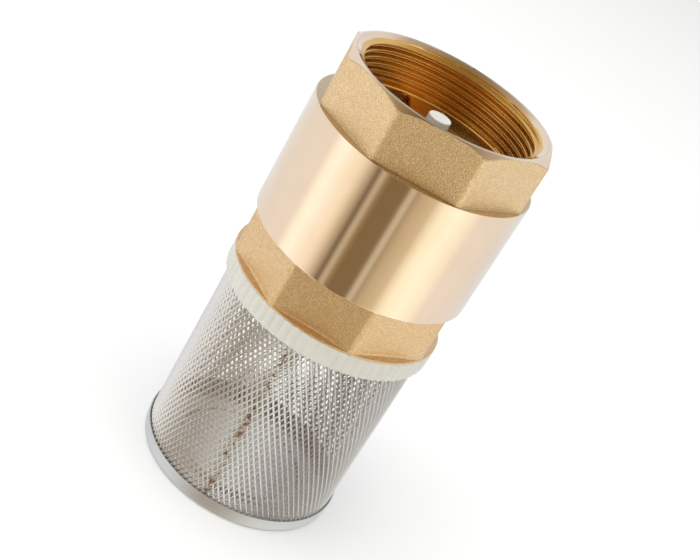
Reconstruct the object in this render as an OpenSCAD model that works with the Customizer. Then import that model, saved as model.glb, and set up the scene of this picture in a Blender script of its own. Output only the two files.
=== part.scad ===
// Spring-loaded foot valve with a screw-in strainer, for a G 2 suction pipe.
// It stands on the strainer cap: z = 0 is the cap's underside, the axis is Z and water flows towards +Z.

/* [Valve body] */
// Outside diameter of the turned barrel
barrel_d = 72; // [71.6:0.2:74]
// Length of the barrel between the two octagons
barrel_l = 39.6; // [39:0.2:44]
// Size of the upper octagon over its corners
upper_octagon_d = 71; // [69.6:0.2:71.4]
// Length of the upper octagon
upper_octagon_l = 17.3; // [17.2:0.1:20]
// Size of the lower octagon over its corners
lower_octagon_d = 71.4; // [69.6:0.2:71.4]
// Length of the lower octagon
lower_octagon_l = 16.3; // [16.1:0.1:20]
// Angle left between the two octagons when the halves are screwed tight
octagon_lag = 7.1; // [0:0.1:44]
// Bore of the barrel round the poppet
chamber_d = 64.4; // [63:0.2:65]

/* [Pipe thread G 2] */
// Minor diameter of the pipe thread, the plain wall of both threaded bores
thread_minor_d = 56.66; // [56.6:0.02:57]
// Major diameter of the pipe thread, where the lower mouth's chamfer starts
thread_major_d = 59.61; // [59.6:0.01:59.8]
// Depth of the outlet bore from the end face to the spider
outlet_depth = 15.7; // [15:0.1:17]
// Depth of the inlet bore that takes the strainer collar
inlet_depth = 14.3; // [13.8:0.1:15]

/* [Spider] */
// Thickness of the spider's arms
spider_t = 4; // [3:0.1:5]
// Width of one arm
arm_w = 10.5; // [8:0.5:13]
// Number of arms
arms = 3; // [3:1:4]
// Direction of the first arm
arm_angle = 106; // [0:1:119]
// Diameter of the guide hub
hub_d = 16; // [14:0.5:16]

/* [Poppet] */
// Diameter of the poppet plate
plate_d = 54; // [53:0.5:56]
// Bore of the seat below the poppet
seat_bore_d = 47; // [45:0.5:48]
// Diameter of the guide stem
stem_d = 7.3; // [7:0.1:8.4]
// Radial running clearance of the stem in the hub
stem_play = 0.05; // [0.03:0.01:0.09]
// Distance from the outlet face down to the stem's tip
stem_recess = 8.2; // [5:0.1:9]

/* [Spring] */
// Wire diameter of the closing spring
wire_d = 1.3; // [1:0.1:1.4]
// Mean diameter of the spring
spring_d = 19.4; // [19:0.1:20]
// Number of turns, the closed end turns included
turns = 5; // [4:0.5:5]

/* [Strainer] */
// Outside diameter of the nylon collar
collar_d = 71; // [70:0.5:71.4]
// Height of the collar's flange
collar_h = 6.8; // [6:0.1:8]
// Outside diameter of the mesh sleeve
mesh_d = 67.3; // [67:0.1:67.4]
// Free height of the mesh between cap and collar
mesh_l = 62.3; // [40:0.1:90]
// Thickness of the solid sleeve that stands for the expanded sheet
mesh_t = 0.6; // [0.5:0.05:1]
// Height of the end cap
cap_h = 4.9; // [4:0.1:8]
// Sheet thickness of the end cap
cap_t = 0.5; // [0.4:0.05:0.5]

/* [Hidden] */
$fn = 96;
eps = 0.1;              // how far a cut runs past a face
thread_gap = 0.05;      // plain screwed joints are drawn with this radial gap
seat_gap = 0.05;        // left between the closed seal and its seat

// heights along the axis, from the cap's underside up
collar_z = cap_h + mesh_l;
inlet_z = collar_z + collar_h;
barrel_z = inlet_z + lower_octagon_l;
octagon_z = barrel_z + barrel_l;
top_z = octagon_z + upper_octagon_l;
spider_top = top_z - outlet_depth;
spider_z = spider_top - spider_t;
stem_tip = top_z - stem_recess;

// the spigot of the inlet half screws into the barrel and ends in the seat
spigot_l = 13.2;
lip_h = 1.5;
lip_w = 2.5;
seat_z = barrel_z + spigot_l + lip_h;
spigot_d = chamber_d - 2 * thread_gap;
throat_z = inlet_z + inlet_depth;
throat_taper = 5;
groove_z = barrel_z + 1.9;
groove_w = 2.4;
groove_depth = 1.8;
ring_wire_d = 1.78;

// turned edges
end_face_d = 65;
mouth_d = 63;
mouth_chamfer = 1.8;
end_chamfer = 2.1;
foot_d = 70.8;
foot_edge = 0.5;
foot_flare = 2.4;
edge_break = 0.4;
shoulder_turn = 22.5;

// spider
window_d = 56;
hub_z = spider_z - 3.5;
hub_top = spider_top + 1.5;
chamber_taper = 2.5;

// poppet stack, from the seat up
seal_t = 3;
seal_bore_d = 28;
plate_t = 3;
seal_z = seat_z + seat_gap;
plate_z = seal_z + seal_t;
plate_top = plate_z + plate_t;
boss_d = 14;
boss_h = 2.4;
rib_w = 2;
rib_h = 2;
rib_from = 11.5;
rib_to = 25;
ribs = 6;
stem_chamfer = 0.5;

// seal retainer and its screw, from the seal down
retainer_d = 43;
retainer_t = 3;
retainer_z = seal_z - retainer_t;
screw_hole_d = 5.4;
washer_d = 10;
washer_t = 1;
washer_z = retainer_z - washer_t;
screw_d = 5;
screw_l = 19;
head_d = 9.5;
head_h = 3.2;
slot_w = 1.2;
slot_depth = 1.5;

// collar and cap
spigot_clear = 1.8;
collar_bore_d = 50;
collar_spigot_l = inlet_depth - spigot_clear;
groove_fit = 0.07;
mesh_bite = 3.4;
mesh_r = mesh_d / 2;
cap_r = mesh_r + groove_fit + cap_t;
cap_draft = 0.4;
dish_d = 44;
dish_h = 1.2;

// spring helix
coil_steps = 28;
coil_sides = 8;
end_turns = 1;
spring_h = spider_z - plate_top;

// a hollow cylinder between two heights
module tube(z0, z1, outer_d, inner_d) {
    translate([0, 0, z0]) difference() {
        cylinder(d = outer_d, h = z1 - z0);
        translate([0, 0, -eps]) cylinder(d = inner_d, h = z1 - z0 + 2 * eps);
    }
}

// a cut that is a plain bore between two heights
module bore(z0, z1, d) {
    translate([0, 0, z0]) cylinder(d = d, h = z1 - z0);
}

// a conical cut between two heights
module cone(z0, z1, d0, d1) {
    translate([0, 0, z0]) cylinder(d1 = d0, d2 = d1, h = z1 - z0);
}

// an octagonal prism, sharp corners at turn + 45 degrees
module octagon(z0, z1, corner_d, turn) {
    translate([0, 0, z0]) rotate([0, 0, turn]) cylinder(d = corner_d, h = z1 - z0, $fn = 8);
}

// the three openings of the spider, between the hub and the wall
module windows() {
    difference() {
        bore(spider_z - eps, spider_top + eps, window_d);
        bore(spider_z - 2 * eps, spider_top + 2 * eps, hub_d);
        for (i = [0 : arms - 1])
            rotate([0, 0, arm_angle + i * 360 / arms])
                translate([0, -arm_w / 2, spider_z - 2 * eps])
                    cube([window_d, arm_w, spider_t + 4 * eps]);
    }
}

// barrel, upper octagon, outlet thread and spider: one brass forging
module outlet_body() color("#c8a062") difference() {
    union() {
        difference() {
            union() {
                cone(barrel_z, barrel_z + edge_break, barrel_d - 2 * edge_break, barrel_d);
                bore(barrel_z + edge_break, octagon_z, barrel_d);
                intersection() {
                    octagon(octagon_z - eps, top_z, upper_octagon_d, shoulder_turn + octagon_lag);
                    union() {
                        bore(octagon_z - eps, top_z - end_chamfer, upper_octagon_d + eps);
                        cone(top_z - end_chamfer, top_z, upper_octagon_d + eps, end_face_d);
                    }
                }
            }
            bore(barrel_z - eps, spider_z - chamber_taper, chamber_d);
            cone(spider_z - chamber_taper, spider_z, chamber_d, window_d);
            bore(spider_top, top_z + eps, thread_minor_d);
            cone(top_z - mouth_chamfer, top_z, thread_minor_d, mouth_d);
            windows();
        }
        bore(hub_z, hub_top, hub_d);
    }
    bore(hub_z - eps, hub_top + eps, stem_d + 2 * stem_play);
}

// lower octagon with its round foot, strainer thread, spigot and seat: the second brass half
module inlet_body() color("#c49a5a") difference() {
    union() {
        intersection() {
            octagon(inlet_z, barrel_z, lower_octagon_d, shoulder_turn);
            bore(inlet_z, barrel_z, foot_d);
        }
        bore(inlet_z, inlet_z + foot_edge, foot_d);
        cone(inlet_z + foot_edge, inlet_z + foot_edge + foot_flare, foot_d, foot_d - 2 * foot_flare);
        bore(barrel_z - eps, barrel_z + spigot_l, spigot_d);
        bore(barrel_z + spigot_l - eps, seat_z, seat_bore_d + 2 * lip_w);
    }
    bore(inlet_z - eps, throat_z, thread_minor_d);
    cone(inlet_z, inlet_z + (thread_major_d - thread_minor_d) / 2, thread_major_d, thread_minor_d);
    cone(throat_z - eps, throat_z + throat_taper, thread_minor_d - edge_break, seat_bore_d);
    bore(throat_z, seat_z + eps, seat_bore_d);
    tube(groove_z, groove_z + groove_w, spigot_d + 2, spigot_d - 2 * groove_depth);
}

// rubber ring that seals the screwed joint between the two halves
module body_o_ring() color("#202020")
    translate([0, 0, groove_z + groove_w / 2]) rotate_extrude()
        translate([(spigot_d - ring_wire_d) / 2, 0]) circle(d = ring_wire_d, $fn = 32);

// nylon plate with ribs, spring boss and guide stem
module poppet() color("#e6e6df") difference() {
    union() {
        bore(seal_z, plate_z + eps, seal_bore_d - 2 * groove_fit);
        bore(plate_z, plate_top, plate_d);
        bore(plate_top - eps, plate_top + boss_h, boss_d);
        bore(plate_top, stem_tip - stem_chamfer, stem_d);
        cone(stem_tip - stem_chamfer, stem_tip, stem_d, stem_d - 2 * stem_chamfer);
        for (i = [0 : ribs - 1])
            rotate([0, 0, arm_angle + i * 360 / ribs])
                translate([rib_from, -rib_w / 2, plate_top - eps])
                    cube([rib_to - rib_from, rib_w, rib_h + eps]);
    }
    bore(seal_z - eps, washer_z + screw_l, screw_d + 2 * groove_fit);
}

// flat rubber ring that closes on the seat
module poppet_seal() color("#262626") tube(seal_z, plate_z, plate_d - 1, seal_bore_d);

// disc that clamps the rubber ring to the plate
module seal_retainer() color("#c8a062") tube(retainer_z, seal_z, retainer_d, screw_hole_d);

module retainer_washer() color("#c0c2c4") tube(washer_z, retainer_z, washer_d, screw_hole_d);

// slotted screw that holds the retainer, driven up into the stem
module retainer_screw() color("#b8babc") difference() {
    union() {
        bore(washer_z - head_h, washer_z, head_d);
        bore(washer_z - eps, washer_z + screw_l - eps, screw_d);
    }
    translate([-head_d, -slot_w / 2, washer_z - head_h - eps])
        cube([2 * head_d, slot_w, slot_depth + eps]);
}

// height of the wire's centre line after t turns, with one closed turn at each end
function coil_z(t) =
    let (rise = spring_h - wire_d - 2 * end_turns * wire_d, free = turns - 2 * end_turns)
    t < end_turns ? t * wire_d
    : t > turns - end_turns ? spring_h - wire_d - (turns - t) * wire_d
    : end_turns * wire_d + (t - end_turns) / free * rise;

// closing spring: a round wire swept along the helix
module spring() color("#b4b6b8") translate([0, 0, plate_top + wire_d / 2]) {
    rings = turns * coil_steps;
    points = [for (i = [0 : rings]) for (k = [0 : coil_sides - 1])
        let (t = i / coil_steps, a = 360 * t, b = 360 * k / coil_sides,
            r = spring_d / 2 + wire_d / 2 * cos(b))
        [r * cos(a), r * sin(a), coil_z(t) + wire_d / 2 * sin(b) * 0.96]];
    sides = [for (i = [0 : rings - 1]) for (k = [0 : coil_sides - 1])
        let (n = (k + 1) % coil_sides)
        [i * coil_sides + k, i * coil_sides + n, (i + 1) * coil_sides + n, (i + 1) * coil_sides + k]];
    start = [[for (k = [coil_sides - 1 : -1 : 0]) k]];
    finish = [[for (k = [0 : coil_sides - 1]) rings * coil_sides + k]];
    polyhedron(points = points, faces = concat(sides, start, finish), convexity = 10);
}

// nylon ring: flange, spigot for the inlet thread and groove for the mesh
module strainer_collar() color("#e4e6da") difference() {
    union() {
        bore(collar_z, inlet_z - edge_break, collar_d);
        cone(inlet_z - edge_break, inlet_z, collar_d, collar_d - 2 * edge_break);
        bore(inlet_z - eps, inlet_z + collar_spigot_l, thread_minor_d - 2 * thread_gap);
    }
    bore(collar_z - eps, inlet_z + collar_spigot_l + eps, collar_bore_d);
    tube(collar_z - eps, collar_z + mesh_bite + groove_fit,
        mesh_d + 2 * groove_fit, mesh_d - 2 * mesh_t - 2 * groove_fit);
}

// sleeve of expanded stainless sheet, drawn as a plain tube
module strainer_mesh() color("#b9b9b6") tube(cap_t, collar_z + mesh_bite, mesh_d, mesh_d - 2 * mesh_t);

// pressed stainless cup with a dished centre that closes the sleeve
module strainer_cap() color("#c3c8cc") difference() {
    union() {
        cone(0, cap_t, 2 * (cap_r - cap_draft), 2 * cap_r);
        bore(cap_t, cap_h, 2 * cap_r);
    }
    difference() {
        bore(cap_t, cap_h + eps, 2 * (cap_r - cap_t));
        bore(0, cap_t + dish_h, dish_d + 2 * cap_t);
    }
    bore(-eps, dish_h, dish_d);
    bore(cap_t + dish_h, cap_h + eps, 2 * (cap_r - cap_t));
}

outlet_body();
inlet_body();
body_o_ring();
poppet();
poppet_seal();
seal_retainer();
retainer_washer();
retainer_screw();
spring();
strainer_collar();
strainer_mesh();
strainer_cap();
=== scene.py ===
import bmesh
import bpy
import math
import random
from mathutils import Matrix, Vector


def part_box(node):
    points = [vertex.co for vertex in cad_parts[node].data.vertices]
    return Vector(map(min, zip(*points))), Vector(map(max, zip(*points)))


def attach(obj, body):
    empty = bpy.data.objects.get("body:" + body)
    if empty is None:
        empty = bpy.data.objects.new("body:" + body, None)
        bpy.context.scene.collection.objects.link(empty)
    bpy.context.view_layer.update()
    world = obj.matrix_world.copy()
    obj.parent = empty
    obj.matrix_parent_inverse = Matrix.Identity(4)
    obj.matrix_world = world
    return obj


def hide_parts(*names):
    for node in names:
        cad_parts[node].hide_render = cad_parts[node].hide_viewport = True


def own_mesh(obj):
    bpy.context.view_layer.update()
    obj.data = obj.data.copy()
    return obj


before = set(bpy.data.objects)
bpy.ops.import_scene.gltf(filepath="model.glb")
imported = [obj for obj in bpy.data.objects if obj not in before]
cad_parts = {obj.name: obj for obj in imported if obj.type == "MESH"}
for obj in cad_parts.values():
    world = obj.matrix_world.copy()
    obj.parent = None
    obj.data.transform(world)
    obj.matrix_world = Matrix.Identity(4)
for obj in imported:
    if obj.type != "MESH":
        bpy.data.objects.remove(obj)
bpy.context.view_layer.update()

mm = 0.001
fullTurn = 2 * math.pi


def linear(hexColour):
    # sRGB hex to the linear values that Blender's sockets take
    channels = [int(hexColour[i:i + 2], 16) / 255 for i in (1, 3, 5)]
    bent = [c / 12.92 if c <= 0.04045 else ((c + 0.055) / 1.055) ** 2.4 for c in channels]
    return (*bent, 1.0)


def addNode(tree, kind, settings=None, inputs=None):
    # one node with its settings; an input is a plain value or another node's output to link from
    node = tree.nodes.new("ShaderNode" + kind)
    for name, value in (settings or {}).items():
        setattr(node, name, value)
    for name, value in (inputs or {}).items():
        if isinstance(value, bpy.types.NodeSocket):
            tree.links.new(value, node.inputs[name])
        else:
            node.inputs[name].default_value = value
    return node


def fillRamp(node, stops):
    # stops are (position, hex colour) pairs in rising order
    ramp = node.color_ramp
    while len(ramp.elements) < len(stops):
        ramp.elements.new(0.5)
    for element, (position, colour) in zip(ramp.elements, stops):
        element.position = position
        element.color = linear(colour)


def newMaterial(name):
    # an empty material and its node tree
    material = bpy.data.materials.new(name)
    material.use_nodes = True
    tree = material.node_tree
    tree.nodes.clear()
    return material, tree


def nodeBox(node):
    # a CAD node's lowest and highest corner, in millimetres
    return [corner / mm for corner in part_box(node)]


def around(radius, angle, height):
    # a point at a distance from the valve's axis
    return (radius * math.cos(angle), radius * math.sin(angle), height)


# mesh helpers, all in millimetres
def newShape():
    return {"points": [], "faces": [], "finishes": []}


def rounded(outline, steps=4):
    # outline: (radius, height, rounding, finish of the stretch that ends here)
    # returns the points with each rounded corner drawn as an arc, and the finish of each stretch;
    # a point close beyond each end of an arc keeps the flats beside it shaded flat
    longest = 0.4           # share of a stretch that one rounding may take
    beyond = 1.2            # cuts from the corner at which the flats start
    points = []
    finishes = []
    for i, (radius, height, rounding, finish) in enumerate(outline):
        here = Vector((radius, height))
        if rounding and 0 < i < len(outline) - 1:
            back = Vector(outline[i - 1][:2]) - here
            ahead = Vector(outline[i + 1][:2]) - here
            cut = min(rounding, longest * min(back.length, ahead.length))
            back.normalize()
            ahead.normalize()
            points.append(tuple(here + back * cut * beyond))
            for k in range(steps + 1):
                t = k / steps
                points.append(tuple(here + back * cut * (1 - t) ** 2 + ahead * cut * t ** 2))
            points.append(tuple(here + ahead * cut * beyond))
            finishes += [finish] * (steps + 3)
        else:
            points.append((radius, height))
            finishes.append(finish)
    return points, finishes[1:]


def addTurned(shape, angles, outlineAt):
    # a turned surface: one outline for each angle, so flats and ribs can differ round the axis
    start = len(shape["points"])
    for angle in angles:
        points, finishes = rounded(outlineAt(angle))
        rows = len(points)
        shape["points"] += [around(radius, angle, height) for radius, height in points]
    for i in range(len(angles)):
        near = start + i * rows
        far = start + (i + 1) % len(angles) * rows
        for k in range(rows - 1):
            shape["faces"].append((near + k, far + k, far + k + 1, near + k + 1))
            shape["finishes"].append(finishes[k])


def addThread(shape, angles, low, high, pitch, radiusAt, finishAt, rowsPerTurn):
    # a threaded wall whose rows climb with the helix; past either end they close up to a level ring
    start = len(shape["points"])
    rows = int(math.ceil((high - low) / pitch + 1)) * rowsPerTurn + 1
    for angle in angles:
        climb = pitch * (angle - angles[0]) / fullTurn
        for k in range(rows):
            height = low - pitch + k * pitch / rowsPerTurn + climb
            height = min(max(height, low), high)
            shape["points"].append(around(radiusAt(angle - angles[0], height), angle, height))
    for i in range(len(angles)):
        seam = i == len(angles) - 1
        near = start + i * rows
        far = start + (0 if seam else (i + 1) * rows)
        shift = rowsPerTurn if seam else 0
        for k in range(rows - 1):
            up = min(k + shift, rows - 1)
            upNext = min(k + 1 + shift, rows - 1)
            shape["faces"].append((near + k, far + up, far + upNext, near + k + 1))
            shape["finishes"].append(finishAt(shape["points"][near + k]))


def addBar(shape, loops, finish=0):
    # a solid through loops of equally many points, with a face over each end
    first = len(shape["points"])
    sides = len(loops[0])
    for loop in loops:
        shape["points"] += loop
    for i in range(len(loops) - 1):
        near = first + i * sides
        far = near + sides
        for k in range(sides):
            n = (k + 1) % sides
            shape["faces"].append((near + k, near + n, far + n, far + k))
    end = len(shape["points"])
    shape["faces"] += [tuple(range(first + sides - 1, first - 1, -1)), tuple(range(end - sides, end))]
    shape["finishes"] += [finish] * ((len(loops) - 1) * sides + 2)


def easeIn(x):
    # 0 to 1 with a soft start and end
    x = min(max(x, 0), 1)
    return x * x * (3 - 2 * x)


def threadDepth(form, angle, height, low=-math.inf, high=math.inf):
    # how far the wall lies from the crest of a rounded thread, which runs in from low and out at high
    pitch = form["pitch"]
    depth = form["depth"]
    rounding = form["rounding"]
    offset = abs((height - pitch * angle / fullTurn) / pitch % 1 - 0.5) * pitch
    blend = rounding * math.cos(form["flank"])
    rise = rounding * (1 - math.sin(form["flank"]))
    if offset < blend:
        wall = rounding - math.sqrt(rounding ** 2 - offset ** 2)
    elif offset > pitch / 2 - blend:
        wall = depth - rounding + math.sqrt(rounding ** 2 - (pitch / 2 - offset) ** 2)
    else:
        wall = min(rise + (offset - blend) / math.tan(form["flank"]), depth)
    return wall * easeIn((height - low) / form["runIn"]) * easeIn((high - height) / form["runIn"])


def ring(steps, first=0.0):
    # the angles of a full turn in equal steps
    return [first + fullTurn * i / steps for i in range(steps)]


def finishPiece(name, shape, materials, sharp=32):
    # welds the shape's parts, faces its surfaces outwards and makes a smooth-shaded object of it
    mesh = bpy.data.meshes.new(name)
    points = [(x * mm, y * mm, z * mm) for x, y, z in shape["points"]]
    mesh.from_pydata(points, [], [tuple(dict.fromkeys(face)) for face in shape["faces"]])
    mesh.polygons.foreach_set("material_index", shape["finishes"])
    work = bmesh.new()
    work.from_mesh(mesh)
    bmesh.ops.remove_doubles(work, verts=work.verts, dist=0.002 * mm)
    bmesh.ops.dissolve_degenerate(work, edges=work.edges, dist=0.001 * mm)
    bmesh.ops.recalc_face_normals(work, faces=work.faces)
    work.to_mesh(mesh)
    work.free()
    for material in materials:
        mesh.materials.append(material)
    mesh.shade_smooth()
    mesh.set_sharp_from_angle(angle=math.radians(sharp))
    piece = bpy.data.objects.new(name, mesh)
    bpy.context.scene.collection.objects.link(piece)
    return piece


def place(piece, body, slotName, *nodes):
    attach(piece, body)
    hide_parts(*nodes)


# camera, light and floor
cameraSettings = {
    "azimuth": 1.34,        # degrees to the right of straight on, seen from the front
    "elevation": 26.61,
    "roll": 30.96,          # the camera leans, so the valve lies across the view
    "distance": 387.4,      # mm from the middle of the outlet's end face
    "aside": (-30.1, -53.6),  # mm that the camera stands off to its own left and below
    "lens": 69.27,
    "sensor": 36,
}


def makeCamera(settings):
    # the camera looks down at the mouth of the valve
    top = nodeBox("outlet_body")[1].z
    azimuth = math.radians(settings["azimuth"])
    elevation = math.radians(settings["elevation"])
    roll = math.radians(settings["roll"])
    back = Vector((0, -math.cos(elevation), math.sin(elevation)))
    right = Vector((1, 0, 0))
    up = back.cross(right)
    turned = Matrix.Rotation(azimuth, 3, "Z")
    across = turned @ (math.cos(roll) * right + math.sin(roll) * up)
    upright = turned @ (math.cos(roll) * up - math.sin(roll) * right)
    back = turned @ back
    stand = Vector((0, 0, top)) + back * settings["distance"]
    stand += across * settings["aside"][0] + upright * settings["aside"][1]
    data = bpy.data.cameras.new("viewCamera")
    data.lens = settings["lens"]
    data.sensor_width = settings["sensor"]
    data.clip_end = 50
    camera = bpy.data.objects.new("viewCamera", data)
    frameAxes = Matrix((across, upright, back)).transposed().to_4x4()
    camera.matrix_world = Matrix.Translation(stand * mm) @ frameAxes
    bpy.context.scene.collection.objects.link(camera)
    bpy.context.scene.camera = camera


# the light tent round the valve: azimuth in degrees (-90 is the camera's side) and what hangs there
lightTent = {
    "walls": [
        (-180, "#d7dadc"), (-168, "#d9dada"), (-164, "#e3e6e2"), (-158, "#eef8f3"), (-151, "#f7fcfb"),
        (-145, "#eef3f0"), (-138, "#e8eae2"), (-131, "#e4e3d8"), (-126, "#d9d6c7"), (-120.5, "#bfb7a4"),
        (-115, "#968e7d"), (-112.3, "#726754"), (-110.4, "#726754"), (-108.4, "#9d9585"),
        (-106.3, "#b3ad9d"), (-104.2, "#aaa38e"), (-101.6, "#897c62"), (-97, "#77664b"), (-82, "#76684f"),
        (-79, "#81755f"), (-77, "#aca796"), (-73.5, "#bab5a6"), (-70.7, "#9a907a"), (-64.4, "#b2a88f"),
        (-51.8, "#c2baa2"), (-45.5, "#e0dfce"), (-39, "#eef3e5"), (-26, "#f3fbf3"), (-10, "#e7ebe3"),
        (-1.7, "#d9dbdb"), (66, "#c9d0d7"), (180, "#d7dadc"),
    ],
    # the walls give way to the ceiling between these two heights, given as sines like all heights here
    "wallTop": (0.60, 0.84),
    "ceiling": [(0.6, "#b4aea2"), (0.86, "#a2998a"), (0.95, "#87795f"), (1.0, "#62543c")],
    # a dark gap in the back wall, too narrow for the ramp of the walls
    "gap": [(87.5, "#ffffff"), (88.7, "#d1d3d4"), (90.2, "#bcbcb8"), (91, "#696965"), (92, "#696965"),
            (93, "#aaacaa"), (94.5, "#bcbfc5"), (95.6, "#ffffff")],
    "gapHeight": (0.15, 0.19, 0.33, 0.40),      # foot, fully dark from, fully dark to, top
    "strength": 1.4,
}


def makeTent(tent):
    world = bpy.data.worlds.new("lightTent")
    bpy.context.scene.world = world
    world.use_nodes = True
    tree = world.node_tree
    tree.nodes.clear()
    toSky = addNode(tree, "TexCoord")
    parts = addNode(tree, "SeparateXYZ", inputs={0: toSky.outputs["Generated"]})
    rise = parts.outputs["Z"]
    bearing = addNode(tree, "Math", {"operation": "ARCTAN2"},
                      {0: parts.outputs["Y"], 1: parts.outputs["X"]})
    share = addNode(tree, "Math", {"operation": "MULTIPLY_ADD"},
                    {0: bearing.outputs[0], 1: 1 / fullTurn, 2: 0.5})
    walls = addNode(tree, "ValToRGB", inputs={0: share.outputs[0]})
    fillRamp(walls, [(0.5 + azimuth / 360, colour) for azimuth, colour in tent["walls"]])
    ceiling = addNode(tree, "ValToRGB", inputs={0: rise})
    fillRamp(ceiling, tent["ceiling"])
    wallFoot, wallTop = tent["wallTop"]
    height = addNode(tree, "MapRange", {"interpolation_type": "SMOOTHSTEP"},
                     {"Value": rise, "From Min": wallFoot, "From Max": wallTop})
    room = addNode(tree, "Mix", {"data_type": "RGBA"},
                   {0: height.outputs[0], 6: walls.outputs[0], 7: ceiling.outputs[0]})
    gapFrom, gapTo = tent["gap"][0][0], tent["gap"][-1][0]
    across = addNode(tree, "MapRange", inputs={
        "Value": bearing.outputs[0], "From Min": math.radians(gapFrom), "From Max": math.radians(gapTo)})
    gap = addNode(tree, "ValToRGB", inputs={0: across.outputs[0]})
    fillRamp(gap, [((azimuth - gapFrom) / (gapTo - gapFrom), colour) for azimuth, colour in tent["gap"]])
    foot, full, fade, top = tent["gapHeight"]
    opens = addNode(tree, "MapRange", inputs={"Value": rise, "From Min": foot, "From Max": full})
    closes = addNode(tree, "MapRange", inputs={"Value": rise, "From Min": top, "From Max": fade})
    within = addNode(tree, "Math", {"operation": "MULTIPLY"}, {0: opens.outputs[0], 1: closes.outputs[0]})
    mixed = addNode(tree, "Mix", {"data_type": "RGBA", "blend_type": "MULTIPLY"},
                    {0: within.outputs[0], 6: room.outputs[2], 7: gap.outputs[0]})
    glow = addNode(tree, "Background", inputs={"Color": mixed.outputs[2], "Strength": tent["strength"]})
    addNode(tree, "OutputWorld", inputs={"Surface": glow.outputs[0]})


topLight = {"width": 2000, "height": 1600, "watts": 26, "towards": (-200, -300)}


def makeTopLight(settings):
    # a wide soft light overhead for the floor and the plastics; the polished metal doesn't mirror it
    data = bpy.data.lights.new("topLight", "AREA")
    data.shape = "SQUARE"
    data.size = settings["width"] * mm
    data.energy = settings["watts"]
    lamp = bpy.data.objects.new("topLight", data)
    lamp.location = Vector((*settings["towards"], settings["height"])) * mm
    lamp.rotation_euler = lamp.location.to_track_quat("Z", "Y").to_euler()
    lamp.visible_glossy = False
    bpy.context.scene.collection.objects.link(lamp)


floorSettings = {"radius": 9000, "rings": 24, "colours": ("#f1f3f7", "#f3f5f9"), "below": 0.02}


def makeFloor(settings):
    # a plain pale sweep; mirror-like metal sees the tent below the valve and not this floor
    material, tree = newMaterial("paintedFloor")
    mottle = addNode(tree, "TexNoise", inputs={"Scale": 3.0, "Detail": 2.0})
    tint = addNode(tree, "ValToRGB", inputs={0: mottle.outputs["Fac"]})
    fillRamp(tint, [(0.3, settings["colours"][0]), (0.7, settings["colours"][1])])
    paint = addNode(tree, "BsdfPrincipled", inputs={"Base Color": tint.outputs[0], "Roughness": 0.9})
    addNode(tree, "OutputMaterial", inputs={"Surface": paint.outputs[0]})
    shape = newShape()
    rings = settings["rings"]
    spread = [(settings["radius"] * (i / rings) ** 2, 0, 0, 0) for i in range(rings + 1)]
    addTurned(shape, ring(48), lambda angle: spread)
    floor = finishPiece("floor", shape, [material])
    floor.location.z = -settings["below"] * mm
    floor.visible_glossy = False


bpy.context.scene.view_settings.view_transform = "Standard"
makeCamera(cameraSettings)
makeTent(lightTent)
makeTopLight(topLight)
makeFloor(floorSettings)
print("camera, light and floor made")


# materials
def blastedBrass(name, colours):
    # hot-forged brass, shot-blasted: dull tan, each shot mark a facet that is lighter or darker
    shot = 0.30             # mm across one mark, drawn coarser than the real 0.2 so that it shows
    material, tree = newMaterial(name)
    spot = addNode(tree, "TexCoord").outputs["Object"]
    marks = addNode(tree, "TexVoronoi", inputs={"Vector": spot, "Scale": 1 / (shot * mm)})
    chance = addNode(tree, "SeparateColor", inputs={0: marks.outputs["Color"]})
    fine = addNode(tree, "TexNoise", inputs={"Vector": spot, "Scale": 1 / (shot * mm), "Detail": 3.0})
    tint = addNode(tree, "ValToRGB", inputs={0: chance.outputs["Red"]})
    fillRamp(tint, [(0.0, colours[0]), (0.6, colours[1]), (1.0, colours[2])])
    dull = addNode(tree, "MapRange", inputs={
        "Value": chance.outputs["Green"], "To Min": 0.30, "To Max": 0.50})
    dents = addNode(tree, "Bump", inputs={
        "Height": marks.outputs["Distance"], "Strength": 0.8, "Distance": 0.10 * mm})
    grit = addNode(tree, "Bump", inputs={
        "Height": fine.outputs["Fac"], "Strength": 1.0, "Distance": 0.14 * mm, "Normal": dents.outputs[0]})
    metal = addNode(tree, "BsdfPrincipled", inputs={
        "Base Color": tint.outputs[0], "Metallic": 1.0, "Roughness": dull.outputs[0],
        "Normal": grit.outputs[0]})
    addNode(tree, "OutputMaterial", inputs={"Surface": metal.outputs[0]})
    return material


def turnedBrass(name, colours, roughness):
    # machined brass, turned and buffed: a mirror, drawn out along the axis by hair-fine rings
    toolMark = 0.35         # mm between tool marks
    markLength = 125        # mm that a mark runs on round the piece
    handling = 12           # mm across the patches that handling leaves
    material, tree = newMaterial(name)
    spot = addNode(tree, "TexCoord").outputs["Object"]
    grain = (1 / (markLength * mm), 1 / (markLength * mm), 1 / (toolMark * mm))
    stretch = addNode(tree, "Mapping", inputs={"Vector": spot, "Scale": grain})
    rings = addNode(tree, "TexNoise", inputs={"Vector": stretch.outputs[0], "Scale": 1.0, "Detail": 2.0})
    handled = addNode(tree, "TexNoise", inputs={
        "Vector": spot, "Scale": 1 / (handling * mm), "Detail": 3.0})
    tint = addNode(tree, "ValToRGB", inputs={0: handled.outputs["Fac"]})
    fillRamp(tint, [(0.3, colours[0]), (0.7, colours[1])])
    dull = addNode(tree, "MapRange", inputs={
        "Value": rings.outputs["Fac"], "To Min": roughness[0], "To Max": roughness[1]})
    scored = addNode(tree, "Bump", inputs={
        "Height": rings.outputs["Fac"], "Strength": 0.12, "Distance": 0.02 * mm})
    metal = addNode(tree, "BsdfPrincipled", inputs={
        "Base Color": tint.outputs[0], "Metallic": 1.0, "Roughness": dull.outputs[0],
        "Normal": scored.outputs[0]})
    addNode(tree, "OutputMaterial", inputs={"Surface": metal.outputs[0]})
    return material


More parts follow.
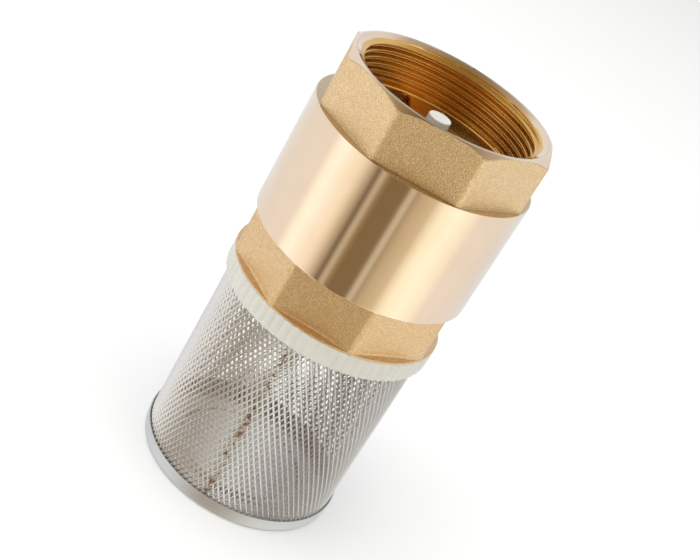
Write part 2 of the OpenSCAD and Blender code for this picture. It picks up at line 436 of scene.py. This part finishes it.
def grainedMetal(name, colours, roughness, grain, scratch):
    # a metal with fine marks: grain is their size in mm along x, y and z, scratch their strength and depth
    material, tree = newMaterial(name)
    spot = addNode(tree, "TexCoord").outputs["Object"]
    stretch = addNode(tree, "Mapping", inputs={
        "Vector": spot, "Scale": [1 / (size * mm) for size in grain]})
    lines = addNode(tree, "TexNoise", inputs={"Vector": stretch.outputs[0], "Scale": 1.0, "Detail": 3.0})
    tint = addNode(tree, "ValToRGB", inputs={0: lines.outputs["Fac"]})
    fillRamp(tint, [(0.3, colours[0]), (0.7, colours[1])])
    dull = addNode(tree, "MapRange", inputs={
        "Value": lines.outputs["Fac"], "To Min": roughness[0], "To Max": roughness[1]})
    scored = addNode(tree, "Bump", inputs={
        "Height": lines.outputs["Fac"], "Strength": scratch[0], "Distance": scratch[1] * mm})
    metal = addNode(tree, "BsdfPrincipled", inputs={
        "Base Color": tint.outputs[0], "Metallic": 1.0, "Roughness": dull.outputs[0],
        "Normal": scored.outputs[0]})
    addNode(tree, "OutputMaterial", inputs={"Surface": metal.outputs[0]})
    return material


def tappedBrassShaded():
    # thread-cut brass: bright flanks with drag marks along the thread; its yellow, deeper and darker than
    # the brass outside, is painted shade and painted bounce light of the bore
    grain = (16.67, 16.67, 0.3)
    return grainedMetal("tappedBrassShaded", ("#e0ac58", "#eec276"), (0.2, 0.34), grain, (0.15, 0.03))


def stainless(name, colours, roughness, grain):
    # rolled, drawn or turned stainless: grey, a touch warm, with faint lines
    return grainedMetal(name, colours, roughness, grain, (0.1, 0.02))


def mouldedPlastic(name, colours, roughness):
    # natural nylon or acetal, injection moulded: waxy, a little light comes through
    flowMark = 7            # mm across a flow mark
    mouldGrain = 0.4        # mm across the grain that the mould leaves
    material, tree = newMaterial(name)
    spot = addNode(tree, "TexCoord").outputs["Object"]
    flow = addNode(tree, "TexNoise", inputs={"Vector": spot, "Scale": 1 / (flowMark * mm), "Detail": 4.0})
    pebble = addNode(tree, "TexNoise", inputs={
        "Vector": spot, "Scale": 1 / (mouldGrain * mm), "Detail": 2.0})
    tint = addNode(tree, "ValToRGB", inputs={0: flow.outputs["Fac"]})
    fillRamp(tint, [(0.3, colours[0]), (0.7, colours[1])])
    dull = addNode(tree, "MapRange", inputs={
        "Value": flow.outputs["Fac"], "To Min": roughness[0], "To Max": roughness[1]})
    skin = addNode(tree, "Bump", inputs={
        "Height": pebble.outputs["Fac"], "Strength": 0.15, "Distance": 0.03 * mm})
    plastic = addNode(tree, "BsdfPrincipled", inputs={
        "Base Color": tint.outputs[0], "Roughness": dull.outputs[0], "Normal": skin.outputs[0], "IOR": 1.53,
        "Subsurface Weight": 0.25, "Subsurface Radius": (1.0, 0.9, 0.7), "Subsurface Scale": 1.2 * mm})
    addNode(tree, "OutputMaterial", inputs={"Surface": plastic.outputs[0]})
    return material


def mouldedRubber():
    # nitrile rubber, press moulded: nearly black with a soft dusty sheen
    bloom = 2               # mm across a dusty patch
    material, tree = newMaterial("nitrileRubber")
    spot = addNode(tree, "TexCoord").outputs["Object"]
    dust = addNode(tree, "TexNoise", inputs={"Vector": spot, "Scale": 1 / (bloom * mm), "Detail": 5.0})
    tint = addNode(tree, "ValToRGB", inputs={0: dust.outputs["Fac"]})
    fillRamp(tint, [(0.35, "#151515"), (0.75, "#2b2b2a")])
    skin = addNode(tree, "Bump", inputs={
        "Height": dust.outputs["Fac"], "Strength": 0.2, "Distance": 0.05 * mm})
    rubber = addNode(tree, "BsdfPrincipled", inputs={
        "Base Color": tint.outputs[0], "Roughness": 0.62, "Normal": skin.outputs[0]})
    addNode(tree, "OutputMaterial", inputs={"Surface": rubber.outputs[0]})
    return material


def expandedStainless(part):
    # slit and stretched stainless sheet: satin grey, straw and brown where the seam was welded
    rolling = 0.3           # mm across the marks of rolling, drawn coarser than the real ones
    heatPatch = 2.6         # mm across a patch of heat tint
    material, tree = newMaterial("expandedStainless")
    spot = addNode(tree, "TexCoord").outputs["Object"]
    sheen = addNode(tree, "TexNoise", inputs={"Vector": spot, "Scale": 1 / (rolling * mm), "Detail": 3.0})
    steel = addNode(tree, "ValToRGB", inputs={0: sheen.outputs["Fac"]})
    fillRamp(steel, [(0.3, "#d5cfce"), (0.7, "#ece7e6")])
    # heat tint: near the seam, on its own side of the sleeve, and in patches
    parts = addNode(tree, "SeparateXYZ", inputs={0: spot})
    seam = part["radius"] * math.cos(math.radians(part["seamAngle"])) * mm
    offset = addNode(tree, "Math", {"operation": "SUBTRACT"}, {0: parts.outputs["X"], 1: seam})
    away = addNode(tree, "Math", {"operation": "ABSOLUTE"}, {0: offset.outputs[0]})
    heatFades, heatFull = part["heatReach"]
    near = addNode(tree, "MapRange", {"interpolation_type": "SMOOTHSTEP"}, {
        "Value": away.outputs[0], "From Min": heatFades * mm, "From Max": heatFull * mm})
    front = addNode(tree, "Math", {"operation": "LESS_THAN"}, {0: parts.outputs["Y"], 1: 0.0})
    patches = addNode(tree, "TexNoise", inputs={
        "Vector": spot, "Scale": 1 / (heatPatch * mm), "Detail": 3.0})
    heated = addNode(tree, "MapRange", inputs={
        "Value": patches.outputs["Fac"], "From Min": 0.47, "From Max": 0.68})
    seamHeat = addNode(tree, "Math", {"operation": "MULTIPLY"}, {0: near.outputs[0], 1: heated.outputs[0]})
    heat = addNode(tree, "Math", {"operation": "MULTIPLY"}, {0: seamHeat.outputs[0], 1: front.outputs[0]})
    scorch = addNode(tree, "ValToRGB", inputs={0: heat.outputs[0]})
    fillRamp(scorch, [(0.0, "#ffffff"), (0.45, "#e6d9c9"), (0.8, "#b59c88"), (1.0, "#7c6153")])
    tint = addNode(tree, "Mix", {"data_type": "RGBA", "blend_type": "MULTIPLY"},
                   {0: 1.0, 6: steel.outputs[0], 7: scorch.outputs[0]})
    dull = addNode(tree, "MapRange", inputs={"Value": sheen.outputs["Fac"], "To Min": 0.32, "To Max": 0.48})
    scored = addNode(tree, "Bump", inputs={
        "Height": sheen.outputs["Fac"], "Strength": 0.3, "Distance": 0.02 * mm})
    metal = addNode(tree, "BsdfPrincipled", inputs={
        "Base Color": tint.outputs[2], "Metallic": 1.0, "Roughness": dull.outputs[0],
        "Normal": scored.outputs[0]})
    addNode(tree, "OutputMaterial", inputs={"Surface": metal.outputs[0]})
    return material


def weldMetal():
    # spot weld on stainless: grey-brown oxide with rust red in it
    flake = 0.6             # mm across a flake of oxide
    material, tree = newMaterial("weldMetal")
    spot = addNode(tree, "TexCoord").outputs["Object"]
    scale = addNode(tree, "TexNoise", inputs={"Vector": spot, "Scale": 1 / (flake * mm), "Detail": 4.0})
    tint = addNode(tree, "ValToRGB", inputs={0: scale.outputs["Fac"]})
    fillRamp(tint, [(0.36, "#5c463d"), (0.48, "#8a6a5e"), (0.58, "#a99486"), (0.7, "#cabfb6")])
    crust = addNode(tree, "Bump", inputs={
        "Height": scale.outputs["Fac"], "Strength": 0.6, "Distance": 0.2 * mm})
    metal = addNode(tree, "BsdfPrincipled", inputs={
        "Base Color": tint.outputs[0], "Metallic": 0.6, "Roughness": 0.5, "Normal": crust.outputs[0]})
    addNode(tree, "OutputMaterial", inputs={"Surface": metal.outputs[0]})
    return material


blasted = blastedBrass("blastedBrass", ("#e3bf91", "#efcda0", "#fadcb4"))
# a little darker copy of the blasted brass for the lower half: painted shade
blastedShadedLower = blastedBrass("blastedBrassShadedLower", ("#dfb98a", "#ebc798", "#f7d6ab"))
turned = turnedBrass("turnedBrass", ("#eed4b9", "#f2d8bf"), (0.05, 0.10))
# cut with a coarse feed and not buffed, so duller; painted greyer and darker as well: painted shade on the
# shelf beside the octagon
facedShaded = turnedBrass("facedBrassShaded", ("#c2ab88", "#cbb591"), (0.20, 0.30))
tappedShaded = tappedBrassShaded()
collarNylon = mouldedPlastic("naturalNylon", ("#cfcdc6", "#d8d6ce"), (0.39, 0.51))
stemAcetal = mouldedPlastic("whiteAcetal", ("#cbc9c5", "#d3d1cd"), (0.32, 0.44))
nitrile = mouldedRubber()
# deep-drawn: dull grey outside with faint rings, and still mill bright inside; the inside is painted
# lighter as well: a painted reflection of the bright sleeve
capSteel = stainless("pressedStainless", ("#d3d1d4", "#dedcdf"), (0.52, 0.60), (20, 20, 0.25))
sheetSteelPaintedLight = stainless("rolledStainlessPaintedLight", ("#e4e0de", "#f0eceb"), (0.22, 0.32), (6, 0.4, 6))
# cold-drawn: a bright wire
wireSteel = stainless("springWire", ("#b9b8b5", "#cfcecb"), (0.2, 0.3), (1.0, 1.0, 0.2))
# turned from bar: bright grey, hardly marked
screwSteel = stainless("turnedStainless", ("#c4c4c2", "#d8d8d6"), (0.2, 0.32), (0.3, 0.3, 0.3))
print("materials made")


# brass halves
pipeThread = {
    "pitch": 25.4 / 11, "flank": math.radians(27.5), "depth": 1.479, "rounding": 0.317, "minor": 28.33,
    "runIn": 1.2,
}
jointThread = {
    "pitch": 1.5, "flank": math.radians(30), "depth": 0.8, "rounding": 0.1, "minor": 32.2, "runIn": 0.8,
}
threadGap = 0.05        # between a male thread and its female one

outlet = {
    "octagonFlat": 65.6 / 2,        # from the axis to a flat
    "cornerRound": 3.5,
    "firstCorner": 22.5 + 7.1,      # degrees; the two octagons don't line up once screwed tight
    "octagonLength": 17.3,
    "endFace": 65 / 2,
    "endChamfer": 2.1,
    "chamferReach": 71.1 / 2,
    "mouth": 63 / 2,
    "mouthChamfer": 1.8,
    "mouthLand": 0.1,               # narrow ring that keeps the end face shaded flat
    "spiderDepth": 15.7,
    "spiderThick": 4,
    "window": 28,
    "chamberTaper": 2.5,
    "jointThreadEnds": (4.2, 13.6),  # above the barrel's lower edge
    "edgeBreak": 0.4,
}
inlet = {
    "octagonFlat": 66.0 / 2,
    "cornerRound": 3.5,
    "firstCorner": 22.5,
    "octagonLength": 16.3,
    "foot": 70.8 / 2,               # round foot below the octagon, with a blend up to the flats
    "footEdge": 0.5,
    "cornerIn": 0.05,               # the octagon's corners stay this far inside the foot
    "footFlare": 0.3,               # how far the blend climbs for each mm it reaches in
    "threadLength": 14.3,
    "threadMouth": 29.81,
    "taper": 5,
    "throatStep": 0.2,              # where the thread ends
    "seatBore": 23.5,
    "lipWidth": 2.5,
    "lipHeight": 1.5,
    "groove": (1.9, 4.3),           # from and to above the octagon
    "grooveFloor": 30.35,
    "jointThreadEnds": (5.0, 12.6),
}


def cornerArc(part):
    # how far out the centre of a corner's arc lies, and half the angle the arc is seen under
    half = math.pi / 8
    rounding = part["cornerRound"]
    centre = (part["octagonFlat"] - rounding) / math.cos(half)
    return centre, math.atan2(rounding * math.sin(half), centre + rounding * math.cos(half))


def octagonRadius(angle, part):
    # distance from the axis to an octagon with rounded corners
    half = math.pi / 8
    first = math.radians(part["firstCorner"])
    off = (angle - first + half) % (2 * half) - half        # from the nearest corner
    centre, tangent = cornerArc(part)
    if abs(off) <= tangent:
        return centre * math.cos(off) + math.sqrt(part["cornerRound"] ** 2 - (centre * math.sin(off)) ** 2)
    return part["octagonFlat"] / math.cos(half - abs(off))


def octagonAngles(part, flatSteps=34, cornerSteps=8):
    # angles that put a column on each end of every corner's arc
    tangent = cornerArc(part)[1]
    flatTurn = math.pi / 4 - 2 * tangent
    angles = []
    for corner in range(8):
        middle = math.radians(part["firstCorner"] + 45 * corner)
        angles += [middle - tangent + 2 * tangent * k / cornerSteps for k in range(cornerSteps)]
        angles += [middle + tangent + flatTurn * k / flatSteps for k in range(flatSteps)]
    return angles


def makeOutletBody(part):
    low, high = nodeBox("outlet_body")
    top, foot = high.z, low.z
    barrel = high.x
    bore = pipeThread["minor"]
    chamber = jointThread["minor"]
    octagonFoot = top - part["octagonLength"]
    spiderTop = top - part["spiderDepth"]
    spiderFoot = spiderTop - part["spiderThick"]
    threadFrom, threadTo = [foot + height for height in part["jointThreadEnds"]]
    edge = part["edgeBreak"]
    blast, turn, tap, face = 0, 1, 2, 3

    # the bore, the chamber and the windows take the tapped brass, painted a deeper, darker yellow: painted
    # shade
    def inside(angle):
        return [(bore, spiderTop, 0, tap), (part["window"], spiderTop, 0.4, tap),
                (part["window"], spiderFoot, 0.5, tap),
                (chamber, spiderFoot - part["chamberTaper"], 0.6, tap), (chamber, threadTo, 0, tap)]

    # the shelf at the octagon's foot takes the faced brass, painted greyer and darker: painted shade
    def outside(angle):
        flat = octagonRadius(angle, part)
        slope = part["endChamfer"] / (part["chamferReach"] - part["endFace"])
        return [(chamber, threadFrom, 0, turn), (chamber, foot, edge, turn), (barrel, foot, edge, turn),
                (barrel, octagonFoot, 0.25, turn), (flat, octagonFoot, 0.25, face),
                (flat, top - slope * (flat - part["endFace"]), 0.6, blast),
                (part["endFace"], top, 0.15, turn), (part["mouth"] + part["mouthLand"], top, 0, turn),
                (part["mouth"], top, 0, turn)]

    def pipeWall(angle, height):
        cone = part["mouth"] - (top - height) * (part["mouth"] - bore) / part["mouthChamfer"]
        return max(bore + threadDepth(pipeThread, angle, height, low=spiderTop), cone)

    def pipeFinish(point):
        return turn if math.hypot(point[0], point[1]) > bore + pipeThread["depth"] else tap

    def jointWall(angle, height):
        return chamber + threadDepth(jointThread, angle, height, threadFrom, threadTo)

    shape = newShape()
    angles = octagonAngles(part)
    addTurned(shape, angles, inside)
    addTurned(shape, angles, outside)
    addThread(shape, angles, spiderTop, top, pipeThread["pitch"], pipeWall, pipeFinish, rowsPerTurn=16)
    addThread(shape, angles, threadFrom, threadTo, jointThread["pitch"], jointWall, lambda point: turn,
              rowsPerTurn=8)
    return finishPiece("brassOutletBody", shape, [blasted, turned, tappedShaded, facedShaded])


def makeInletBody(part):
    low, high = nodeBox("inlet_body")
    foot = low.z
    seat = high.z
    shoulder = foot + part["octagonLength"]
    bore = pipeThread["minor"]
    spigot = jointThread["minor"] - threadGap
    throat = foot + part["threadLength"]
    lip = part["seatBore"] + part["lipWidth"]
    face = seat - part["lipHeight"]
    grooveFoot, grooveTop = [shoulder + height for height in part["groove"]]
    grooveFloor = part["grooveFloor"]
    threadFrom, threadTo = [shoulder + height for height in part["jointThreadEnds"]]
    blast, turn = 0, 1

    def inside(angle):
        return [(bore, throat, 0, turn), (bore - part["throatStep"], throat, 0, turn),
                (part["seatBore"], throat + part["taper"], 0.8, turn), (part["seatBore"], seat, 0.35, turn),
                (lip, seat, 0.35, turn), (lip, face, 0.3, turn), (spigot, face, 0.4, turn),
                (spigot, threadTo, 0, turn)]

    # the octagon and the foot take the darker copy of the blasted brass: painted shade
    def outside(angle):
        rim = part["foot"]
        edge = foot + part["footEdge"]
        flat = min(octagonRadius(angle, part), rim - part["cornerIn"])
        return [(spigot, threadFrom, 0, turn), (spigot, grooveTop, 0.15, turn),
                (grooveFloor, grooveTop, 0.2, turn), (grooveFloor, grooveFoot, 0.2, turn),
                (spigot, grooveFoot, 0.15, turn), (spigot, shoulder, 0.2, turn),
                (flat, shoulder, 0.3, turn),
                (flat, edge + part["footFlare"] * (rim - flat), 0.5, blast), (rim, edge, 0.3, blast),
                (rim, foot, 0.1, blast), (part["threadMouth"], foot, 0, turn)]

    def pipeWall(angle, height):
        cone = part["threadMouth"] - (height - foot)
        return max(bore + threadDepth(pipeThread, angle, height, high=throat), cone)

    def jointWall(angle, height):
        return spigot + threadDepth(jointThread, angle, height, threadFrom, threadTo)

    shape = newShape()
    angles = octagonAngles(part)
    addTurned(shape, angles, inside)
    addTurned(shape, angles, outside)
    addThread(shape, angles, foot, throat, pipeThread["pitch"], pipeWall, lambda point: turn,
              rowsPerTurn=10)
    addThread(shape, angles, threadFrom, threadTo, jointThread["pitch"], jointWall, lambda point: turn,
              rowsPerTurn=8)
    return finishPiece("brassInletBody", shape, [blastedShadedLower, turned])


spider = {
    "arms": 3, "armAngle": 106, "armWidth": 10.5, "hub": 8, "hubBore": 3.7, "hubRise": 1.5, "hubDrop": 3.5,
    "buried": 0.3,          # how far the web reaches into the wall and the windows stay clear of the hub
    "cornerRound": 3.2, "innerRound": 0.96, "edgeRound": 0.7,
}


def windowOutline(part, armAngle):
    # one opening between two arms: outer arc, side of an arm, inner arc, side of the next arm
    turn = fullTurn / part["arms"]
    cornerSteps, arcSteps = 6, 24
    corners = []
    for radius, size, sides in ((outlet["window"], part["cornerRound"], (1, -1)),
                                (part["hub"] + part["buried"], part["innerRound"], (-1, 1))):
        lean = math.asin(part["armWidth"] / 2 / radius)
        for side in sides:
            corners.append((radius, size, side, armAngle + (lean if side == 1 else turn - lean)))
    outline = []
    for i, (radius, size, side, angle) in enumerate(corners):
        here = Vector(around(radius, angle, 0))
        spoke = Vector(around(1, armAngle if side == 1 else armAngle + turn, 0))
        toArc = side * Vector((-math.sin(angle), math.cos(angle), 0))
        toSide = -spoke if i < 2 else spoke
        startsArc = i in (0, 2)
        first, last = (toSide, toArc) if startsArc else (toArc, toSide)
        for k in range(cornerSteps + 1):
            t = k / cornerSteps
            outline.append(here + first * size * (1 - t) ** 2 + last * size * t ** 2)
        if startsArc:
            nextAngle = corners[i + 1][3]
            trim = side * size / radius
            for k in range(1, arcSteps):
                step = angle + trim + (nextAngle - angle - 2 * trim) * k / arcSteps
                outline.append(Vector(around(radius, step, 0)))
    return outline


def makeSpider(part):
    # three arms and the hub that guides the stem, one casting with the outlet body
    top = nodeBox("outlet_body")[1].z - outlet["spiderDepth"]
    foot = top - outlet["spiderThick"]
    curve = bpy.data.curves.new("spiderWeb", "CURVE")
    curve.dimensions = "2D"
    curve.fill_mode = "BOTH"
    curve.extrude = (outlet["spiderThick"] / 2 - part["edgeRound"]) * mm
    curve.bevel_depth = part["edgeRound"] * mm
    curve.bevel_resolution = 3
    curve.offset = -part["edgeRound"] * mm
    rim = outlet["window"] + part["buried"]
    inner = (part["hub"] + part["hubBore"]) / 2     # the web's inner edge lies within the hub's wall
    outlines = [[around(rim, angle, 0) for angle in ring(180)]]
    outlines += [windowOutline(part, angle) for angle in ring(part["arms"], math.radians(part["armAngle"]))]
    outlines.append([around(inner, angle, 0) for angle in ring(90)])
    for outline in outlines:
        spline = curve.splines.new("POLY")
        spline.points.add(len(outline) - 1)
        spline.use_cyclic_u = True
        for point, spot in zip(spline.points, outline):
            point.co = (spot[0] * mm, spot[1] * mm, 0, 1)
    holder = bpy.data.objects.new("spiderWeb", curve)
    bpy.context.scene.collection.objects.link(holder)
    bpy.context.view_layer.update()
    web = bpy.data.meshes.new_from_object(holder.evaluated_get(bpy.context.evaluated_depsgraph_get()))
    bpy.data.objects.remove(holder)
    web.transform(Matrix.Translation((0, 0, (top + foot) / 2 * mm)))
    shape = newShape()
    bore, hub = part["hubBore"], part["hub"]
    hubFoot, hubTop = foot - part["hubDrop"], top + part["hubRise"]
    addTurned(shape, ring(96), lambda angle: [
        (bore, hubFoot, 0, 0), (hub, hubFoot, 0.5, 0), (hub, hubTop, 0.7, 0), (bore, hubTop, 0.3, 0),
        (bore, hubFoot, 0, 0)])
    start = len(shape["points"])
    shape["points"] += [tuple(corner.co / mm) for corner in web.vertices]
    for face in web.polygons:
        shape["faces"].append(tuple(start + i for i in face.vertices))
        shape["finishes"].append(0)
    return finishPiece("spider", shape, [tappedShaded], sharp=40)


def joinPieces(main, *others):
    with bpy.context.temp_override(active_object=main, selected_editable_objects=[main, *others]):
        bpy.ops.object.join()
    return main


outletPiece = joinPieces(makeOutletBody(outlet), makeSpider(spider))
place(outletPiece, "valve_body", "forged_brass_outlet", "outlet_body")
place(makeInletBody(inlet), "valve_body", "forged_brass_inlet", "inlet_body")
print("brass halves made")


# strainer
collar = {
    "ribs": 72, "ribDepth": 0.32, "stepsPerRib": 5, "bore": 25, "flange": 6.8, "topRound": 0.5,
    "grooveIn": 32.3, "grooveOut": 33.85, "grooveDepth": 3.5,       # the sleeve stands in this groove
    "threadFrom": 0.7, "threadTo": 11.9, "leadIn": 0.4,
}


def makeCollar(part):
    low, high = nodeBox("strainer_collar")
    foot, top = low.z, high.z
    rim = high.x
    flangeTop = foot + part["flange"]
    threadFrom, threadTo = [flangeTop + part[end] for end in ("threadFrom", "threadTo")]
    root = pipeThread["minor"] - threadGap

    def ribbed(angle):
        return rim - part["ribDepth"] * (0.5 - 0.5 * math.cos(part["ribs"] * angle)) ** 2

    def profile(angle):
        return [(root, threadTo, 0, 0), (root - part["leadIn"], top, 0, 0), (part["bore"], top, 0.4, 0),
                (part["bore"], foot, 0.4, 0), (part["grooveIn"], foot, 0.3, 0),
                (part["grooveIn"], foot + part["grooveDepth"], 0, 0),
                (part["grooveOut"], foot + part["grooveDepth"], 0, 0), (part["grooveOut"], foot, 0.15, 0),
                (ribbed(angle), foot, 0.3, 0), (ribbed(angle), flangeTop, part["topRound"], 0),
                (root, flangeTop, 0.2, 0), (root, threadFrom, 0, 0)]

    def wall(angle, height):
        # the male form fills the female one, so its crest lies where the female root does
        return root + threadDepth(pipeThread, angle, height, threadFrom, threadTo)

    shape = newShape()
    angles = ring(part["ribs"] * part["stepsPerRib"], math.radians(inlet["firstCorner"]))
    addTurned(shape, angles, profile)
    addThread(shape, angles, threadFrom, threadTo, pipeThread["pitch"], wall, lambda point: 0,
              rowsPerTurn=10)
    return finishPiece("nylonCollar", shape, [collarNylon])


sleeve = {
    "columns": 108,         # diamonds round the sleeve
    "halfHeight": 1.76,     # mm along the axis from one knuckle to the next
    "strand": 0.68,         # mm wide
    "flat": 0.62,           # share of that width that is flat, between bevelled edges
    "sheet": 0.30,          # mm thick
    "overlap": 0.12,        # mm that a strand runs on into a knuckle
    "twist": -0.50,         # how far a strand leans out for each mm across it
    "radius": 33.2,
    "seamAngle": -94.0,
    "lap": 3,               # columns of double sheet at the seam
    "lapDrop": 0.42,        # mm that the inner layer lies further in
    "lapShift": 0.3,        # columns that the two layers are out of step
    "heatReach": (1.9, 0.5),  # mm from the seam at which the heat tint starts and is full
    "clear": 0.15,          # mm left at either end of the sleeve
    "weldWander": 0.4,      # mm that a spot weld may lie off the seam
    # height and size of the spot welds, in mm
    "welds": [(62.6, 0.6), (58.8, 0.4), (54.9, 0.6), (51.1, 0.35), (38.3, 0.65), (34.3, 0.6), (30.8, 0.45),
              (26.6, 0.4), (10.6, 0.5), (9.5, 0.55), (8.3, 0.6), (7.0, 0.55), (5.6, 0.6)],
}


def addStrand(shape, start, end, part, drop=0.0):
    # a flat bar between two knuckles of the sheet, six-sided, leaning about the axis
    angleA, heightA = start
    angleB, heightB = end
    radius = part["radius"] - drop
    run = Vector(((angleB - angleA) * radius, heightB - heightA))
    along = run.normalized()
    across = Vector((along.y, -along.x))
    half = part["strand"] / 2
    flat = half * part["flat"]
    thick = part["sheet"] / 2
    section = [(-half, 0), (-flat, thick), (flat, thick), (half, 0), (flat, -thick), (-flat, -thick)]
    loops = []
    for (angle, height), reach in ((start, -part["overlap"]), (end, part["overlap"])):
        loop = []
        for side, depth in section:
            spot = across * side + along * reach
            far = radius + depth + part["twist"] * across.x * side
            loop.append(around(far, angle + spot.x / radius, height + spot.y))
        loops.append(loop)
    addBar(shape, loops)


def addWeld(shape, turn, height, size, radius, dice):
    # a flattened, ragged blob of metal that joins the two layers
    sides = 14
    ragged = [dice.uniform(0.7, 1.25) for k in range(sides)]
    levels = ((-0.3, 1.0), (0.05, 0.97), (0.2, 0.75), (0.27, 0.4))     # mm off the sheet, share of its size
    loops = []
    for rise, share in levels:
        loop = []
        for angle, rag in zip(ring(sides), ragged):
            reach = size * share * rag
            spot = turn + reach * math.cos(angle) / radius
            loop.append(around(radius + rise, spot, height + reach * math.sin(angle)))
        loops.append(loop)
    addBar(shape, loops, finish=1)


def makeSleeve(part):
    low, high = nodeBox("strainer_mesh")
    foot, top = low.z + part["clear"], high.z - part["clear"]
    rows = int((top - foot) / part["halfHeight"])
    step = (top - foot) / rows
    pitch = fullTurn / part["columns"]
    seam = math.radians(part["seamAngle"])
    shape = newShape()

    def layer(columns, first, drop):
        for row in range(rows):
            for column in columns:
                angle = first + (column + 0.5 * (row % 2)) * pitch
                start = (angle, foot + row * step)
                for side in (-0.5, 0.5):
                    end = (angle + side * pitch, foot + (row + 1) * step)
                    addStrand(shape, start, end, part, drop)

    layer(range(part["columns"]), seam, 0)
    layer([k - part["lap"] / 2 + part["lapShift"] for k in range(part["lap"])], seam, part["lapDrop"])
    dice = random.Random(11)
    for height, size in part["welds"]:
        turn = seam + dice.uniform(-part["weldWander"], part["weldWander"]) / part["radius"]
        addWeld(shape, turn, height, size, part["radius"], dice)
    return finishPiece("stainlessSleeve", shape, [expandedStainless(part), weldMetal()], sharp=50)


cap = {"sheet": 0.5, "draft": 0.4, "corner": 1.1, "dish": 22, "dishRise": 1.2, "dishSlope": 1.6}


def makeCap(part):
    high = nodeBox("strainer_cap")[1]
    rim, top = high.x, high.z
    sheet = part["sheet"]
    dish = part["dish"]

    # the inside of the cup takes the lighter steel: a painted reflection of the sleeve
    def section(angle):
        return [(0, part["dishRise"], 0, 0), (dish - part["dishSlope"], part["dishRise"], 0.8, 0),
                (dish, 0, 0.8, 0), (rim - part["draft"], 0, part["corner"], 0), (rim, top, 0.22, 0),
                (rim - sheet, top, 0.22, 0), (rim - sheet, sheet, 0.5, 1), (dish + sheet, sheet, 0.6, 1),
                (dish - part["dishSlope"] + sheet, part["dishRise"] + sheet, 0.6, 1),
                (0, part["dishRise"] + sheet, 0, 1)]

    shape = newShape()
    addTurned(shape, ring(240), section)
    return finishPiece("stainlessCap", shape, [capSteel, sheetSteelPaintedLight])


place(makeCollar(collar), "valve_body", "nylon_collar", "strainer_collar")
place(makeSleeve(sleeve), "valve_body", "expanded_stainless", "strainer_mesh")
place(makeCap(cap), "valve_body", "pressed_stainless", "strainer_cap")
print("strainer made")


# poppet, spring and seals
poppet = {
    "spigot": 13.93, "screwHole": 2.57, "screwDepth": 15, "plateThick": 3, "sealThick": 3, "boss": 7,
    "bossRise": 2.4, "stem": 3.65, "tip": 0.45,
    "ribs": 6, "ribAngle": 106, "ribFrom": 11.5, "ribTo": 25, "ribWidth": 2, "ribRise": 2,
    "ribSlope": 3,          # mm over which a rib runs out towards the plate's edge
    "ribCrest": 0.8,        # width of a rib's crest for each mm at its foot
    "ribRound": 0.4, "ribToe": 0.5, "ribBuried": 0.2,
}


def makePoppet(part):
    low, high = nodeBox("poppet")
    foot, tip = low.z, high.z
    plate = high.x
    under = foot + part["sealThick"]
    over = under + part["plateThick"]
    blind = foot + part["screwDepth"]
    bossTop = over + part["bossRise"]
    hole, spigot, boss, stem = part["screwHole"], part["spigot"], part["boss"], part["stem"]
    shape = newShape()
    addTurned(shape, ring(120), lambda angle: [
        (0, blind, 0, 0), (hole, blind, 0, 0), (hole, foot, 0.2, 0), (spigot, foot, 0.3, 0),
        (spigot, under, 0, 0), (plate, under, 0.5, 0), (plate, over, 0.8, 0), (boss, over, 0.6, 0),
        (boss, bossTop, 0.5, 0), (stem, bossTop, 0.6, 0), (stem, tip, part["tip"], 0), (0, tip, 0, 0)])
    # a rib's outline from the side: upright at the boss, sloping down to the plate's edge
    start, end = part["ribFrom"], part["ribTo"]
    crest, buried = over + part["ribRise"], over - part["ribBuried"]
    wide = part["ribWidth"] / 2
    slim = wide * part["ribCrest"]
    cut = part["ribRound"]
    side = [(start, buried, wide), (start, crest - cut, slim), (start + cut, crest, slim),
            (end - part["ribSlope"], crest, slim), (end, over + part["ribToe"], wide), (end, buried, wide)]
    for angle in ring(part["ribs"], math.radians(part["ribAngle"])):
        turn = Matrix.Rotation(angle, 3, "Z")
        addBar(shape, [[tuple(turn @ Vector((reach, way * half, height))) for reach, height, half in side]
                       for way in (-1, 1)])
    return finishPiece("acetalPoppet", shape, [stemAcetal])


springSettings = {
    "wire": 1.3, "across": 19.4, "turns": 5, "endTurns": 1, "steps": 48, "sides": 12,
    "flattened": 0.96,      # the wire's section, so that touching end turns don't cut into each other
    "closedTo": 6.45,       # mm long at full lift
}


def makeSpring(part):
    low, high = nodeBox("spring")
    rise = high.z - low.z
    wire = part["wire"]
    free = part["turns"] - 2 * part["endTurns"]
    climb = rise - wire - 2 * part["endTurns"] * wire

    def heightAt(turns):
        if turns < part["endTurns"]:
            return turns * wire
        if turns > part["turns"] - part["endTurns"]:
            return rise - wire - (part["turns"] - turns) * wire
        return part["endTurns"] * wire + (turns - part["endTurns"]) / free * climb

    loops = []
    for i in range(part["turns"] * part["steps"] + 1):
        turns = i / part["steps"]
        middle = low.z + wire / 2 + heightAt(turns)
        loops.append([around(part["across"] / 2 + wire / 2 * math.cos(about), fullTurn * turns,
                             middle + wire / 2 * math.sin(about) * part["flattened"])
                      for about in ring(part["sides"])])
    shape = newShape()
    addBar(shape, loops)
    piece = finishPiece("closingSpring", shape, [wireSteel], sharp=50)
    place(piece, "valve_body", "spring_wire", "spring")
    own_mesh(piece)


place(makePoppet(poppet), "poppet", "acetal_poppet", "poppet")
makeSpring(springSettings)

# these small pieces keep their CAD shape and take a finish
for node, material in (("body_o_ring", nitrile), ("poppet_seal", nitrile), ("seal_retainer", turned),
                       ("retainer_washer", screwSteel), ("retainer_screw", screwSteel)):
    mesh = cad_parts[node].data
    mesh.materials.clear()
    mesh.materials.append(material)
print("poppet, spring and seals made")
